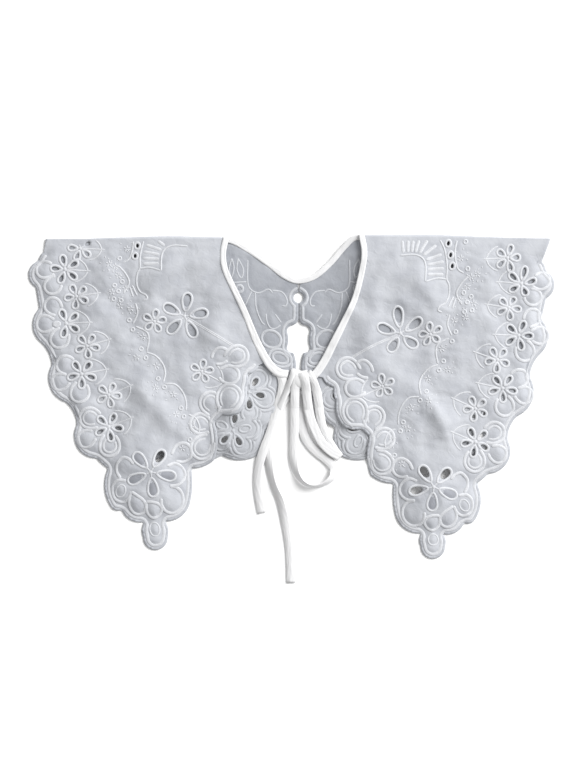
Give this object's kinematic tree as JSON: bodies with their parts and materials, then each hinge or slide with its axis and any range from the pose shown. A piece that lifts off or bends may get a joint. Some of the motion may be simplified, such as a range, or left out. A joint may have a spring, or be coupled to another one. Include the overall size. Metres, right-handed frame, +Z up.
{
  "type": "false collar",
  "caption": "White eyelet cotton false collar laid flat, scalloped pointed fronts over its backs, bound neck tied in a bow.",
  "frame": {"origin": "middle of the collar, without its ties, on the surface that it lies on", "axes": "+X across the collar to the right of the picture, +Y from the pointed tips to the shoulder folds, +Z up from the surface"},
  "size_m": [0.4518, 0.3015, 0.0087],
  "materials": {
    "eyelet_cloth": "plain-woven white cotton, matt",
    "binding_tape": "folded white cotton bias tape, pressed",
    "satin_stitch": "white embroidery thread, soft sheen"
  },
  "bodies": {
    "root": {"left_half": "eyelet_cloth", "right_half": "eyelet_cloth", "neck_binding": "binding_tape", "tie_knot": "binding_tape", "left_tie_loop": "binding_tape", "left_tie_tail": "binding_tape", "right_tie_loop": "binding_tape", "right_tie_tail": "binding_tape"}
  },
  "joints": []
}
